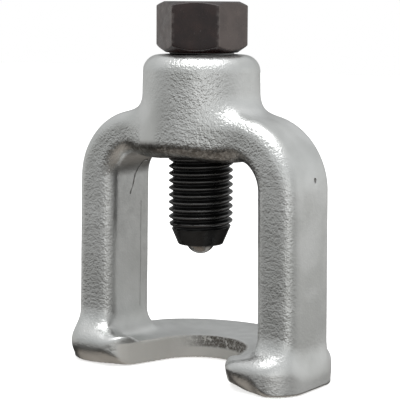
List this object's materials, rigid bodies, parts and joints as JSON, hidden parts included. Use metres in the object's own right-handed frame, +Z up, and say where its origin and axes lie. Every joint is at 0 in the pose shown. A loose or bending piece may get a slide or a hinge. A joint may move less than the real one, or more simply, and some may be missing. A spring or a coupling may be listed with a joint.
{
  "type": "ball joint separator",
  "caption": "Forged stirrup with a forked base and a threaded boss; a hex-headed forcing screw with a thrust ball in its tip presses a ball joint's stud out of its taper.",
  "frame": {"origin": "on the screw axis, in the plane of the base's flat underside", "axes": "+Z up along the screw axis towards the hex head, X from leg to leg, the fork opens towards -Y"},
  "size_m": [0.078, 0.0488, 0.1024],
  "materials": {
    "plated_forging": "drop-forged steel with a satin nickel-chrome plating, pebbled by the shot-blasted skin under it",
    "black_oxide_steel": "black oxide, brown-black and lightly scratched on the hex, oily black on the thread",
    "bearing_steel": "ground and polished hardened steel"
  },
  "bodies": {
    "yoke": {"yoke": "plated_forging"},
    "ball": {"ball": "bearing_steel"},
    "screw": {"pressure_screw": "black_oxide_steel"}
  },
  "joints": [
    {"name": "screw_advance", "type": "slide", "parent": "yoke", "child": "ball", "axis": [0, 0, 1], "range_m": [-0.0005, 0.028]},
    {"name": "screw_turn", "type": "hinge", "parent": "ball", "child": "screw", "pos_m": [0, 0, 0.037], "axis": [0, 0, 1], "range_deg": [-90.5, 5041]}
  ],
  "couplings": [
    {"joint": "screw_turn", "follows": "screw_advance", "rad_per_m": 3141.6}
  ]
}
